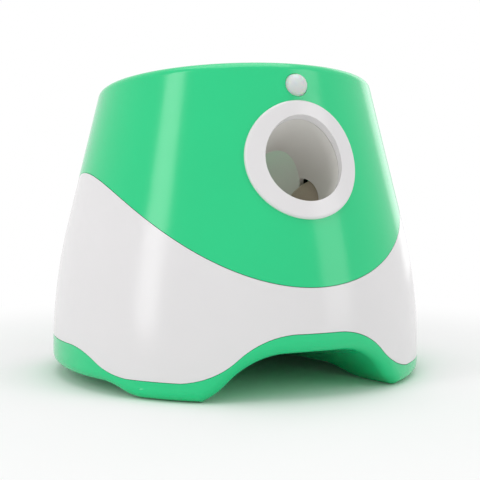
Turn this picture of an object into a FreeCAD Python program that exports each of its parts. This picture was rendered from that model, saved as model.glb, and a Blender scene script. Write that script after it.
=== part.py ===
import FreeCAD, Part
import math
import os
import Sketcher
from FreeCAD import Placement, Rotation, Vector

# Automatic ball launcher for dogs.
# The row frame stands on the floor: +Z is up, the origin is at the middle of the base, and
# the launch barrel looks towards -Y. Lengths are millimetres and angles are degrees.
# Balls drop from the hopper through the chute on to a round seat, and two spinning wheels
# beside the barrel grip the ball and throw it out of the muzzle.

SIZES = [
    ("base_radius", "150", "outer wall, radius at the floor"),
    ("upright_height", "18", "outer wall, height of its upright foot"),
    ("bend_radius", "421.6", "outer wall, radius of the bend above the foot"),
    ("lean_angle", "14", "outer wall, lean of its straight upper part"),
    ("rim_height", "228.5", "height of the sloping rim at the axis"),
    ("rim_slope", "4.9", "slope of the rim, higher over the muzzle"),
    ("rim_rounding", "7", "outer rounding of the rim"),
    ("wall", "3", "wall of the moulded housings"),
    ("seam_gap", "0.4", "shadow gap between two housings"),
    ("foot_gap", "0.6", "tray above the floor, on its feet"),
    ("edge_rounding", "8", "rounding of the tray's lower edge"),
    ("arch_crown", "35", "front arch, height of its crown"),
    ("arch_flat", "22", "front arch, half width of its crown"),
    ("arch_overrun", "10", "front arch, reach past the middle of a foot"),
    ("arch_fall", "0.17", "front arch, fall of its roof per length"),
    ("low_crown", "8.6", "side and rear arches, height of the crown"),
    ("low_flat", "60", "side and rear arches, half width of the crown"),
    ("low_overrun", "8", "side and rear arches, reach past the middle of a foot"),
    ("foot_blend", "0.4", "depth at which an arch runs out"),
    ("seam_height", "13.6", "tray seam, height over the four feet"),
    ("seam_crown", "47", "tray seam, height over the front arch"),
    ("seam_flat", "16", "tray seam, half width of its front crown"),
    ("seam_side_crown", "31", "tray seam, height at the sides and the rear"),
    ("seam_side_flat", "30", "tray seam, half width of its side crowns"),
    ("disc_radius", "141", "round upper housing seen from the front, radius"),
    ("disc_height", "219.6", "round upper housing seen from the front, centre height"),
    ("muzzle_height", "167.4", "height of the muzzle's centre on the wall"),
    ("launch_angle", "32", "slope of the barrel"),
    ("bore_radius", "30", "barrel bore"),
    ("barrel_wall", "3", "barrel wall"),
    ("bezel_radius", "43.5", "muzzle bezel, outer radius"),
    ("bezel_proud", "2.4", "muzzle bezel, height above the wall"),
    ("bezel_rounding", "2", "muzzle bezel, rounding of its outer edge"),
    ("seat_depth", "87", "ball seat, distance from the muzzle"),
    ("wheel_ahead", "17", "wheel axis ahead of the ball seat"),
    ("wheel_radius", "34", "tyre, outer radius"),
    ("wheel_gap", "44", "gap between the two tyres"),
    ("tyre_width", "30", "tyre, width"),
    ("tyre_depth", "7", "tyre, thickness"),
    ("tyre_rounding", "2.5", "tyre, rounding of its edges"),
    ("wheel_clear", "3", "room round a wheel"),
    ("rim_band", "3", "wheel hub, thickness of its rim"),
    ("hub_radius", "8", "wheel hub, radius of its boss"),
    ("spoke_width", "5", "wheel hub, width of a spoke"),
    ("spoke_depth", "8", "wheel hub, depth of a spoke"),
    ("spoke_count", "6", "wheel hub, number of spokes"),
    ("shaft_radius", "1.6", "motor shaft"),
    ("shaft_fit", "0.05", "running fit round the shaft"),
    ("nut_radius", "4", "shaft nut, across corners"),
    ("nut_height", "3", "shaft nut, height"),
    ("motor_radius", "12.2", "motor can, radius"),
    ("motor_length", "30.8", "motor can, length"),
    ("motor_cap_height", "5", "motor end cap, height"),
    ("cap_low_radius", "9.8", "motor end cap, radius of its outer face"),
    ("cap_high_radius", "11.5", "motor end cap, radius on the can"),
    ("cap_tab_spread", "7.3", "motor terminals, distance from the shaft"),
    ("cap_tab_thickness", "1", "motor terminals, thickness"),
    ("motor_screw_grip", "2.4", "motor screws, depth in the can"),
    ("motor_boss_radius", "4.5", "motor boss, radius"),
    ("motor_boss_height", "2", "motor boss, height"),
    ("motor_screw_spacing", "16", "motor screws, spacing"),
    ("shelf_drop", "4", "gap between a tyre and its motor shelf"),
    ("shelf_thickness", "3.5", "motor shelf, thickness"),
    ("shelf_reach", "84", "motor shelf, half span of the two shelves"),
    ("shelf_front", "34", "motor shelf, distance of its front edge from the muzzle"),
    ("shelf_back", "106", "motor shelf, distance of its back edge from the muzzle"),
    ("post_radius", "5", "shelf post, radius"),
    ("post_spread", "74", "shelf posts, distance from the middle plane"),
    ("post_front", "46", "front shelf posts, distance from the muzzle"),
    ("post_back", "98", "back shelf posts, distance from the muzzle"),
    ("chute_height", "187", "height of the chute's mouth in the bowl"),
    ("rim_ledge", "18.4", "rim, width of its ledge round the hopper bowl"),
    ("bowl_wall", "2.6", "hopper bowl, wall"),
    ("bowl_flange", "9", "hopper bowl, width of its flange"),
    ("lens_drop", "7.5", "sensor lens, distance below the rim height"),
    ("lens_radius", "8.5", "sensor lens, radius"),
    ("lens_proud", "6.5", "sensor lens, height above the wall"),
    ("lens_wall", "0.8", "sensor lens, wall"),
    ("lens_fit", "0.15", "gap round the sensor lens"),
    ("sensor_radius", "4.6", "sensor can, radius"),
    ("sensor_height", "3.6", "sensor can, height"),
    ("sensor_board_width", "24", "sensor board, side"),
    ("board_thickness", "1.6", "circuit boards, thickness"),
    ("panel_height", "150", "button panel, height of its middle"),
    ("panel_width", "84", "button panel, width"),
    ("panel_depth", "30", "button panel, height across"),
    ("panel_corner", "12", "button panel, corner radius"),
    ("panel_proud", "0.8", "button panel, height above the wall"),
    ("panel_fit", "0.2", "gap round the button panel"),
    ("button_radius", "8", "button, radius"),
    ("button_fit", "0.25", "gap round a button"),
    ("button_proud", "2.6", "button, height above the panel"),
    ("button_travel", "1.5", "button, travel"),
    ("button_spread", "26", "buttons, distance from the middle"),
    ("button_flange", "1.6", "button flange, width and thickness"),
    ("light_radius", "1.8", "indicator light, radius"),
    ("light_spacing", "9", "indicator lights, spacing"),
    ("switch_side", "6", "button switch, side"),
    ("switch_height", "3.6", "button switch, height"),
    ("socket_height", "48", "supply socket, height"),
    ("socket_radius", "5.5", "supply socket, radius"),
    ("socket_bore", "2.9", "supply socket, bore"),
    ("socket_depth", "14", "supply socket, length"),
    ("socket_flange", "7.5", "supply socket, radius of its flange"),
    ("socket_rim", "1.5", "supply socket, thickness of its flange"),
    ("socket_inset", "1", "supply socket, distance of its face inside the base radius"),
    ("socket_bore_depth", "10", "supply socket, depth of its bore"),
    ("cell_length", "50", "battery cell, length"),
    ("cell_diameter", "26.2", "battery cell, diameter"),
    ("cell_rows", "3", "battery cells, rows"),
    ("cell_play", "1", "battery box, play round the cells"),
    ("contact_room", "4", "battery box, room for the contacts at each end"),
    ("box_wall", "2", "battery box, wall"),
    ("box_front", "13", "battery box, distance of its front wall behind the axis"),
    ("rib_height", "10.3", "battery box, height of the ribs between the rows"),
    ("door_ledge", "2", "battery door, ledge round its opening"),
    ("door_gap", "0.35", "battery door, gap round it"),
    ("grip_inset", "11.2", "finger grip of the door, distance from its edge"),
    ("grip_drop", "6.9", "finger grip of the door, distance of its middle below the door"),
    ("clip_height", "1.6", "door clip, height"),
    ("pin_radius", "0.9", "door pin, radius"),
    ("pin_length", "9", "door pin, length"),
    ("pin_fit", "0.06", "running fit round a door pin"),
    ("plate_thickness", "0.8", "contact plate, thickness"),
    ("plate_side", "15.7", "contact plate, side"),
    ("leaf_span", "14", "contact spring, length of its leaf"),
    ("leaf_width", "8", "contact spring, width of its leaf"),
    ("leaf_thickness", "0.4", "contact spring, thickness of its leaf"),
    ("foot_radius", "8", "rubber foot, radius"),
    ("foot_height", "3.6", "rubber foot, height"),
    ("foot_fit", "0.15", "gap round a rubber foot"),
    ("foot_inset", "25.55", "rubber feet, distance of their middles from the wall"),
    ("foot_boss", "2.5", "wall round a rubber foot"),
    ("board_length", "84", "control board, length"),
    ("board_width", "58", "control board, width"),
    ("board_margin", "4.2", "control board, distance of its screws from the edges"),
    ("relay_length", "14.7", "relay, length"),
    ("relay_width", "18.9", "relay, width"),
    ("relay_height", "12.6", "relay, height"),
    ("tub_radius", "4.7", "capacitor, radius"),
    ("tub_height", "15.7", "capacitor, height"),
    ("plug_length", "9.4", "plug, length"),
    ("plug_width", "6.3", "plug, width"),
    ("plug_height", "7.3", "plug, height"),
    ("chip_length", "12.6", "control chip, length"),
    ("chip_width", "8.4", "control chip, width"),
    ("chip_height", "2.1", "control chip, height"),
    ("buzzer_radius", "6.3", "buzzer, radius"),
    ("buzzer_height", "8.4", "buzzer, height"),
    ("eye_radius", "3.4", "ball eye, radius"),
    ("eye_length", "6", "ball eye, length"),
    ("eye_rise", "33", "ball eyes, height above the seat"),
    ("standoff", "5", "control board, height above the battery box"),
    ("screw_radius", "1.5", "screw, radius"),
    ("screw_head", "3", "screw head, radius"),
    ("screw_crown", "2.1", "screw head, radius of its flat top"),
    ("screw_head_height", "2", "screw head, height"),
    ("screw_length", "10", "screw, length under its head"),
    ("screw_hole", "1.65", "screw hole, radius"),
]

doc = FreeCAD.newDocument("ball_launcher")
sheet = doc.addObject("Spreadsheet::Sheet", "sizes")


class Size:
    """A length or angle with the spreadsheet expression that gives it."""

    def __init__(self, value, text):
        self.value = value
        self.text = text

    def __add__(self, other):
        return Size(self.value + size(other).value, f"({self.text} + {size(other).text})")

    def __radd__(self, other):
        return size(other) + self

    def __sub__(self, other):
        return Size(self.value - size(other).value, f"({self.text} - {size(other).text})")

    def __rsub__(self, other):
        return size(other) - self

    def __mul__(self, other):
        return Size(self.value * size(other).value, f"({self.text} * {size(other).text})")

    def __rmul__(self, other):
        return size(other) * self

    def __truediv__(self, other):
        return Size(self.value / size(other).value, f"({self.text} / {size(other).text})")

    def __rtruediv__(self, other):
        return size(other) / self

    def __neg__(self):
        return Size(-self.value, f"(0 - {self.text})")


def size(value):
    """A plain number as a Size."""
    if isinstance(value, Size):
        return value
    return Size(float(value), repr(float(value)))


def sine(angle):
    return Size(math.sin(math.radians(angle.value)), f"sin({angle.text})")


def cosine(angle):
    return Size(math.cos(math.radians(angle.value)), f"cos({angle.text})")


def tangent(angle):
    return Size(math.tan(math.radians(angle.value)), f"tan({angle.text})")


def root(value):
    return Size(math.sqrt(value.value), f"sqrt({value.text})")


class Sheet:
    """The spreadsheet's cells by name."""

    def __init__(self, rows):
        for row, (name, value, meaning) in enumerate(rows, start=1):
            sheet.set(f"A{row}", meaning)
            sheet.set(f"B{row}", value)
            sheet.setAlias(f"B{row}", name)
        doc.recompute()

    def __getattr__(self, name):
        return Size(float(sheet.get(name)), "sizes." + name)


s = Sheet(SIZES)
X_AXIS = (1, 0, 0)
Y_AXIS = (0, 1, 0)
Z_AXIS = (0, 0, 1)
UPRIGHT = (X_AXIS, 0)
ALONG_X = (Y_AXIS, 90)
ALONG_Y = (X_AXIS, -90)
FAR = 2 * s.base_radius


def bind(obj, setting, value):
    obj.setExpression(setting, size(value).text)


def place(obj, at=(0, 0, 0), turn=UPRIGHT):
    """Put an object at a point, turned by an angle about an axis."""
    axis, angle = turn
    if size(angle).value != 0:
        obj.Placement = Placement(Vector(), Rotation(Vector(*axis), 10.0))
        bind(obj, "Placement.Rotation.Angle", angle)
    for name, value in zip("xyz", at):
        bind(obj, "Placement.Base." + name, value)
    return obj


def primitive(kind, name, at, turn, **settings):
    obj = doc.addObject("Part::" + kind, name)
    for setting, value in settings.items():
        bind(obj, setting, value)
    return place(obj, at, turn)


def cylinder(name, radius, height, at=(0, 0, 0), turn=UPRIGHT):
    return primitive("Cylinder", name, at, turn, Radius=radius, Height=height)


def cone(name, radius_low, radius_high, height, at=(0, 0, 0), turn=UPRIGHT):
    settings = {"Radius1": radius_low, "Radius2": radius_high, "Height": height}
    return primitive("Cone", name, at, turn, **settings)


def sphere(name, radius, at=(0, 0, 0)):
    return primitive("Sphere", name, at, UPRIGHT, Radius=radius)


def box(name, length, width, height, at=(0, 0, 0), turn=UPRIGHT):
    settings = {"Length": length, "Width": width, "Height": height}
    return primitive("Box", name, at, turn, **settings)


def prism(name, sides, radius, height, at=(0, 0, 0), turn=UPRIGHT):
    obj = primitive("Prism", name, at, turn, Circumradius=radius, Height=height)
    obj.Polygon = sides
    return obj


def fuse(name, *shapes):
    obj = doc.addObject("Part::MultiFuse", name)
    obj.Shapes = list(shapes)
    return obj


def cut(name, base, *tools):
    obj = doc.addObject("Part::Cut", name)
    obj.Base = base
    obj.Tool = tools[0] if len(tools) == 1 else fuse(name + "_cutters", *tools)
    return obj


def common(name, base, tool):
    obj = doc.addObject("Part::Common", name)
    obj.Base = base
    obj.Tool = tool
    return obj


def group(name, *shapes):
    obj = doc.addObject("Part::Compound", name)
    obj.Links = list(shapes)
    return obj


def fillet(name, base, radius, wanted):
    """Round the edges of a shape for which wanted(edge) holds."""
    doc.recompute()
    obj = doc.addObject("Part::Fillet", name)
    obj.Base = base
    numbers = [n for n, edge in enumerate(base.Shape.Edges, start=1) if wanted(edge)]
    obj.Edges = [(n, size(radius).value, size(radius).value) for n in numbers]
    return obj


def arc_centre(start, end, radius, side):
    """Centre of an arc that bulges to one side of the chord from start to end."""
    chord = end - start
    half = chord.Length / 2
    depth = math.sqrt(max(radius * radius - half * half, 0))
    across = Vector(-chord.y, chord.x, 0) / chord.Length
    return (start + end) / 2 - across * (depth * side)


def outline(sketch, corners):
    """Draw a closed outline of lines and arcs, every corner and radius bound to the sheet.

    A corner is (x, y) before a line, or (x, y, radius, side) before an arc that bulges to
    the left (side 1) or to the right (side -1) of its chord.
    """
    points = [Vector(size(c[0]).value, size(c[1]).value, 0) for c in corners]
    ends = []
    for i, corner in enumerate(corners):
        start, end = points[i], points[(i + 1) % len(points)]
        if len(corner) == 2:
            sketch.addGeometry(Part.LineSegment(start, end), False)
            ends.append((1, 2))
            continue
        radius, side = size(corner[2]).value, corner[3]
        centre = arc_centre(start, end, radius, side)
        first, last = (end, start) if side > 0 else (start, end)
        angles = [math.atan2(p.y - centre.y, p.x - centre.x) for p in (first, last)]
        circle = Part.Circle(centre, Vector(0, 0, 1), radius)
        sketch.addGeometry(Part.ArcOfCircle(circle, angles[0], angles[1]), False)
        ends.append((2, 1) if side > 0 else (1, 2))
    for i, corner in enumerate(corners):
        following = (i + 1) % len(corners)
        joint = Sketcher.Constraint("Coincident", i, ends[i][1], following, ends[following][0])
        sketch.addConstraint(joint)
        for kind, value, place_now in (("DistanceX", corner[0], points[i].x),
                                       ("DistanceY", corner[1], points[i].y)):
            fixed = Sketcher.Constraint(kind, -1, 1, i, ends[i][0], place_now)
            number = sketch.addConstraint(fixed)
            sketch.setExpression(f"Constraints[{number}]", size(value).text)
        if len(corner) == 4:
            fixed = Sketcher.Constraint("Radius", i, size(corner[2]).value)
            number = sketch.addConstraint(fixed)
            sketch.setExpression(f"Constraints[{number}]", size(corner[2]).text)


def drawn_body(name, plane, corners):
    """A body with one sketch on one of its own origin planes."""
    body = doc.addObject("PartDesign::Body", name)
    sketch = body.newObject("Sketcher::SketchObject", name + "_sketch")
    support = [f for f in body.Origin.OriginFeatures if f.Role == plane + "_Plane"][0]
    sketch.AttachmentSupport = (support, [""])
    sketch.MapMode = "FlatFace"
    outline(sketch, corners)
    return body, sketch


def revolved(name, corners, at=(0, 0, 0), turn=UPRIGHT):
    """Turn an outline of radius and height about the upright axis."""
    body, sketch = drawn_body(name, "XZ", corners)
    turned = body.newObject("PartDesign::Revolution", name + "_turned")
    turned.Profile = sketch
    turned.ReferenceAxis = (sketch, ["V_Axis"])
    turned.Angle = 360
    return place(body, at, turn)


def padded(name, plane, corners, length, at=(0, 0, 0), turn=UPRIGHT):
    """Pad an outline by half its length to both sides of its plane."""
    body, sketch = drawn_body(name, plane, corners)
    pad = body.newObject("PartDesign::Pad", name + "_pad")
    pad.Profile = sketch
    pad.SideType = "Symmetric"
    bind(pad, "Length", length)
    return place(body, at, turn)


# The outer wall

def wall_radius(height):
    """Outer radius of the wall on its straight upper part."""
    knee_drop = s.bend_radius * (1 - cosine(s.lean_angle))
    knee_height = s.upright_height + s.bend_radius * sine(s.lean_angle)
    return s.base_radius - knee_drop - (height - knee_height) * tangent(s.lean_angle)


def housing(name, inset, floor):
    """The space inside the outer wall, moved in by an inset, from a floor to above the rim."""
    radius = s.bend_radius - inset
    centre = s.base_radius - s.bend_radius
    knee = (centre + radius * cosine(s.lean_angle),
            s.upright_height + radius * sine(s.lean_angle))
    top = s.rim_height + s.bowl_flange * 3
    return revolved(name, [
        (0, floor),
        (s.base_radius - inset, floor),
        (s.base_radius - inset, s.upright_height, radius, -1),
        knee,
        (knee[0] - (top - knee[1]) * tangent(s.lean_angle), top),
        (0, top),
    ])


def arch_outline(crown, floor, flat, reach, low):
    """An arch: a flat crown that falls to the floor in two tangent arcs on each side."""
    run = reach - flat
    rise = crown - floor
    radius = (run * run + rise * rise) / (4 * rise)
    middle = ((flat + reach) / 2, (crown + floor) / 2)
    return [
        (-reach, low),
        (-reach, floor, radius, -1),
        (-middle[0], middle[1], radius, 1),
        (-flat, crown),
        (flat, crown, radius, 1),
        (middle[0], middle[1], radius, -1),
        (reach, floor),
        (reach, low),
    ]


def arch_run(name, plane, shape, start, run, fall=0):
    """Push an arch along a horizontal way, falling as it goes."""
    body, sketch = drawn_body(name, plane, shape)
    way = Y_AXIS if plane == "XZ" else X_AXIS
    obj = doc.addObject("Part::Extrusion", name + "_run")
    obj.Base = sketch
    obj.DirMode = "Custom"
    obj.Dir = Vector(way[0], way[1], 0)
    bind(obj, "Dir.z", -size(fall))
    bind(obj, "LengthFwd", run * root(1 + size(fall) * size(fall)))
    obj.Solid = True
    return place(obj, (start * way[0], start * way[1], 0))


def floor_arches(name, lift):
    """The front arch, whose roof falls to the rear, and the low side and rear arches."""
    low = -s.arch_crown
    front = arch_outline(s.arch_crown + lift, s.foot_gap - s.foot_blend + lift,
                         s.arch_flat, ARCH_REACH, low)
    rear = arch_outline(s.low_crown + lift, s.foot_gap - s.foot_blend + lift,
                        s.low_flat, LOW_REACH, low)
    return fuse(
        name,
        arch_run(name + "_front", "XZ", front, -s.base_radius, s.base_radius, s.arch_fall),
        arch_run(name + "_rear", "XZ", rear, 0, s.base_radius),
        arch_run(name + "_sides", "YZ", rear, -s.base_radius, 2 * s.base_radius),
    )


def under_seam(name, lift):
    """The space under the wavy seam of the tray."""
    low = -s.arch_crown
    foot = s.seam_height - s.foot_blend + lift
    front = arch_outline(s.seam_crown + lift, foot, s.seam_flat, ARCH_REACH, low)
    side = arch_outline(s.seam_side_crown + lift, foot, s.seam_side_flat, LOW_REACH, low)
    slab = cylinder(name + "_slab", FAR, s.seam_height + lift + FAR, (0, 0, -FAR))
    return fuse(
        name,
        slab,
        arch_run(name + "_front", "XZ", front, -FAR, FAR),
        arch_run(name + "_rear", "XZ", side, 0, FAR),
        arch_run(name + "_sides", "YZ", side, -FAR, 2 * FAR),
    )


def disc(name, radius):
    """The upright disc, seen from the front, that the upper housing fills."""
    return cylinder(name, radius, 2 * FAR, (0, -FAR, s.disc_height), ALONG_Y)


def above_rim(name, drop):
    """The space above the sloping rim, lowered by a drop."""
    return cylinder(name, FAR, FAR, (0, 0, s.rim_height - drop), (X_AXIS, -s.rim_slope))


def is_rim_edge(edge):
    """True for the outer edge of the sloping top face."""
    heights = [v.Z for v in edge.Vertexes]
    return min(heights) > s.panel_height.value and max(abs(v.X) + abs(v.Y) for v in edge.Vertexes) > 1


def is_lower_edge(edge):
    """True for the edges where the outer wall meets the tray's underside."""
    first, last = edge.ParameterRange
    params = [first + (last - first) * k / 6 for k in range(7)]
    points = [edge.valueAt(p) for p in params]
    radii = [math.hypot(p.x, p.y) for p in points]
    heights = [p.z for p in points]
    on_wall = min(radii) > s.base_radius.value - 2 * s.wall.value
    is_knee = max(heights) - min(heights) < 0.01 and abs(heights[0] - s.upright_height.value) < 0.01
    azimuths = [math.atan2(p.y, p.x) for p in points]
    upright = max(azimuths) - min(azimuths) < 1e-6
    return on_wall and not is_knee and not upright and max(heights) < s.seam_crown.value + 1


# The barrel's own frame: x across, depth inward along the barrel and rise square to it

BARREL_TURN = (X_AXIS, -s.launch_angle)
ALONG_BARREL = (X_AXIS, -(s.launch_angle + 90))
MUZZLE_BACK = -wall_radius(s.muzzle_height)


def barrel_point(across, depth, rise):
    """A point of the barrel's frame in the row frame."""
    depth, rise = size(depth), size(rise)
    return (
        across,
        MUZZLE_BACK + depth * cosine(s.launch_angle) + rise * sine(s.launch_angle),
        s.muzzle_height - depth * sine(s.launch_angle) + rise * cosine(s.launch_angle),
    )


WHEEL_DEPTH = s.seat_depth - s.wheel_ahead
WHEEL_ACROSS = s.wheel_gap / 2 + s.wheel_radius
SHELF_TOP = -(s.tyre_width / 2 + s.shelf_drop)
SHELF_UNDER = SHELF_TOP - s.shelf_thickness
SEAT = barrel_point(0, s.seat_depth, 0)
TUBE_RADIUS = s.bore_radius + s.barrel_wall
BOWL_RADIUS = wall_radius(s.rim_height) - s.rim_ledge
FOOT_SPREAD = (s.base_radius - s.foot_inset) * cosine(size(45))
ARCH_REACH = FOOT_SPREAD + s.arch_overrun
LOW_REACH = FOOT_SPREAD + s.low_overrun
LENS_HEIGHT = s.rim_height - s.lens_drop
SIDES = (("left", -1), ("right", 1))


def screw(name, at, turn, length=None):
    """A pan head screw whose head stands on its point and whose shank runs back."""
    length = s.screw_length if length is None else length
    shank = cylinder(name + "_shank", s.screw_radius, length, (0, 0, -length))
    head = cone(name + "_head", s.screw_head, s.screw_crown, s.screw_head_height)
    return place(fuse(name, shank, head), at, turn)


# Housings

def make_housings():
    outer = cut("outer_block", housing("outer_space", 0, s.foot_gap),
                above_rim("outer_top", 0))
    outer = fillet("outer_rounded", outer, s.rim_rounding, is_rim_edge)
    inner = cut("inner_block", housing("inner_space", s.wall, s.foot_gap),
                above_rim("inner_top", s.wall))
    inner = fillet("inner_rounded", inner, s.rim_rounding - s.wall, is_rim_edge)
    skin = cut("housing_skin", outer, inner)
    half_gap = s.seam_gap / 2
    mouth = cylinder("bowl_mouth", BOWL_RADIUS, FAR, (0, 0, s.rim_height - FAR / 4),
                     (X_AXIS, -s.rim_slope))
    muzzle = cylinder("muzzle_hole", TUBE_RADIUS + s.lens_fit, FAR / 2,
                      barrel_point(0, -FAR / 4, 0), ALONG_BARREL)
    cap = common("upper_cap", skin, disc("upper_disc", s.disc_radius - half_gap))
    cut("upper_shell", cap, mouth, muzzle, lens_hole(), panel_block("panel_hole", s.panel_fit))
    skirt = cut("lower_skirt", skin, disc("lower_disc", s.disc_radius + half_gap))
    cut("lower_shell", skirt, under_seam("under_lower_seam", s.seam_gap), socket_hole())


def make_tray():
    outside = cut("tray_block", housing("tray_space", 0, s.foot_gap),
                  floor_arches("floor_arches", 0))
    outside = fillet("tray_rounded", outside, s.edge_rounding, is_lower_edge)
    inside = cut("tray_inner_block",
                 housing("tray_inner_space", s.wall, s.foot_gap + s.wall),
                 floor_arches("inner_arches", s.wall))
    inside = fillet("tray_inner_rounded", inside, s.edge_rounding - s.wall, is_lower_edge)
    shell = cut("tray_shell", outside, inside)
    shell = common("tray_band", shell, under_seam("under_tray_seam", 0))
    posts = []
    for label, side in SIDES:
        for number, depth in enumerate((s.post_front, s.post_back)):
            foot = barrel_point(side * s.post_spread, depth, SHELF_UNDER)
            post = cylinder(f"{label}_post_{number}", s.post_radius, foot[2] + s.post_radius,
                            (foot[0], foot[1], 0))
            posts.append(post)
    rods = common("post_rods", fuse("post_bars", *posts),
                  housing("post_space", s.wall / 2, s.foot_gap))
    over_floor = cut("posts_over_floor", rods, floor_arches("post_arches", s.wall / 2))
    over_shelf = box("over_shelf", 2 * FAR, 2 * FAR, FAR,
                     barrel_point(-FAR, -FAR, SHELF_UNDER), BARREL_TURN)
    posts = cut("posts", over_floor, over_shelf)
    bosses = []
    pockets = []
    for x_side in (-1, 1):
        for y_side in (-1, 1):
            at = (x_side * FOOT_SPREAD, y_side * FOOT_SPREAD)
            name = f"foot_{x_side + 1}{y_side + 1}"
            bosses.append(cylinder(name + "_boss", s.foot_radius + s.foot_boss,
                                   s.foot_height + s.foot_boss, (*at, s.foot_gap)))
            pockets.append(cylinder(name + "_pocket", s.foot_radius + s.foot_fit,
                                    s.foot_height, (*at, 0)))
    solid = fuse("tray_solid", shell, posts, *bosses)
    cut("base_tray", solid, *pockets, door_opening())


def make_feet():
    feet = []
    for x_side in (-1, 1):
        for y_side in (-1, 1):
            at = (x_side * FOOT_SPREAD, y_side * FOOT_SPREAD)
            name = f"pad_{x_side + 1}{y_side + 1}"
            feet.append(cylinder(name, s.foot_radius, s.foot_height, (*at, 0)))
    group("rubber_feet", *feet)


# Hopper bowl

def ring_wire(name, radius, at, slope):
    obj = doc.addObject("Part::Circle", name)
    bind(obj, "Radius", radius)
    return place(obj, at, (X_AXIS, slope))


def bowl_space(name, widen, drop, rise=0):
    """The funnel from the sloping rim down to the chute, carried on above the rim by a rise."""
    share = rise / (s.rim_height - s.wall - s.chute_height)
    top = ring_wire(name + "_top", BOWL_RADIUS + widen + share * (BOWL_RADIUS - s.bore_radius),
                    (0, -share * SEAT[1], s.rim_height - s.wall - drop + rise), -s.rim_slope)
    bottom = ring_wire(name + "_bottom", s.bore_radius + widen,
                       (0, SEAT[1], s.chute_height - drop), 0)
    obj = doc.addObject("Part::Loft", name)
    obj.Sections = [top, bottom]
    obj.Solid = True
    obj.Ruled = True
    return obj


def make_bowl():
    tilt = (X_AXIS, -s.rim_slope)
    flange = cylinder("bowl_flange_disc", BOWL_RADIUS + s.bowl_flange,
                      s.bowl_wall * cosine(s.rim_slope),
                      (0, 0, s.rim_height - s.wall - s.bowl_wall), tilt)
    solid = fuse("bowl_solid", bowl_space("bowl_outside", s.bowl_wall, s.bowl_wall), flange)
    chute = cylinder("bowl_chute", s.bore_radius, 4 * s.bowl_wall,
                     (0, SEAT[1], s.chute_height - 3 * s.bowl_wall))
    cut("hopper_bowl", solid, bowl_space("bowl_inside", 0, 0, s.bowl_wall), chute)


# Barrel and muzzle

def wheel_room(name, label, side):
    return cylinder(f"{name}_{label}", s.wheel_radius + s.wheel_clear,
                    s.tyre_width + 2 * s.wheel_clear,
                    barrel_point(side * WHEEL_ACROSS, WHEEL_DEPTH,
                                 -(s.tyre_width / 2 + s.wheel_clear)), BARREL_TURN)


def make_barrel():
    tube = cylinder("barrel_tube", TUBE_RADIUS, s.seat_depth + FAR / 4,
                    barrel_point(0, -FAR / 4, 0), ALONG_BARREL)
    collar_top = s.chute_height - s.bowl_wall
    collar = cylinder("chute_collar", TUBE_RADIUS, collar_top - SEAT[2], SEAT)
    elbow = sphere("seat_elbow", TUBE_RADIUS, SEAT)
    shelf = box("shelf_plate", 2 * s.shelf_reach, s.shelf_back - s.shelf_front,
                s.shelf_thickness, barrel_point(-s.shelf_reach, s.shelf_front, SHELF_UNDER),
                BARREL_TURN)
    solid = fuse("barrel_solid", tube, collar, elbow, shelf)
    trimmed = common("barrel_trimmed", solid,
                     housing("barrel_space", s.wall + s.seam_gap, s.foot_gap))
    bore = cylinder("barrel_bore", s.bore_radius, s.seat_depth + FAR / 4,
                    barrel_point(0, -FAR / 4, 0), ALONG_BARREL)
    drop = cylinder("chute_bore", s.bore_radius, FAR / 2, SEAT)
    seat = sphere("seat_bore", s.bore_radius, SEAT)
    cutters = [bore, drop, seat]
    for label, side in SIDES:
        cutters.append(wheel_room("window", label, side))
        at = barrel_point(side * WHEEL_ACROSS, WHEEL_DEPTH, SHELF_UNDER - s.wall)
        cutters.append(cylinder(f"{label}_boss_hole", s.motor_boss_radius + s.lens_fit,
                                s.shelf_thickness + 2 * s.wall, at, BARREL_TURN))
        for step in (-1, 1):
            at = barrel_point(side * WHEEL_ACROSS, WHEEL_DEPTH + step * s.motor_screw_spacing / 2,
                              SHELF_UNDER - s.wall)
            cutters.append(cylinder(f"{label}_motor_screw_hole_{step + 1}", s.screw_hole,
                                    s.shelf_thickness + 2 * s.wall, at, BARREL_TURN))
    cut("launch_barrel", trimmed, *cutters)


def is_bezel_edge(edge):
    """True for the outer edge of the bezel's front face."""
    first, last = edge.ParameterRange
    point = edge.valueAt((first + last) / 2)
    on_front = math.hypot(point.x, point.y) > wall_radius(size(point.z)).value
    return on_front and point.y < 0 and edge.Length > s.bezel_radius.value


def make_bezel():
    turn = (X_AXIS, -(90 + s.lean_angle))
    disc_block = cylinder("bezel_block", s.bezel_radius, FAR / 3,
                          (0, MUZZLE_BACK - FAR / 6 * cosine(s.lean_angle),
                           s.muzzle_height + FAR / 6 * sine(s.lean_angle)), turn)
    plate = common("bezel_plate", disc_block, housing("bezel_outside", -s.bezel_proud, s.foot_gap))
    plate = fillet("bezel_rounded", plate, s.bezel_rounding, is_bezel_edge)
    plate = cut("bezel_layer", plate, housing("bezel_inside", 0, s.foot_gap))
    neck = cylinder("bezel_neck", TUBE_RADIUS, FAR / 3, barrel_point(0, -FAR / 6, 0), ALONG_BARREL)
    neck = common("bezel_neck_outer", neck, housing("neck_outside", 0, s.foot_gap))
    neck = cut("bezel_neck_layer", neck, housing("neck_inside", s.wall, s.foot_gap))
    bore = cylinder("bezel_bore", s.bore_radius, FAR / 3, barrel_point(0, -FAR / 6, 0),
                    ALONG_BARREL)
    cut("muzzle_bezel", fuse("bezel_solid", plate, neck), bore)


# Motion sensor above the muzzle

WALL_OUT = (X_AXIS, 90 - s.lean_angle)
WALL_BACK = (X_AXIS, -(90 - s.lean_angle))
LENS_Y = -wall_radius(LENS_HEIGHT)


def lens_point(out):
    """A point on the lens axis, a distance out of the front wall."""
    return (0, LENS_Y - out * cosine(s.lean_angle), LENS_HEIGHT + out * sine(s.lean_angle))


def lens_hole():
    return cylinder("lens_hole", s.lens_radius + s.lens_fit, 4 * s.wall,
                    lens_point(-2 * s.wall), WALL_OUT)


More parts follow.
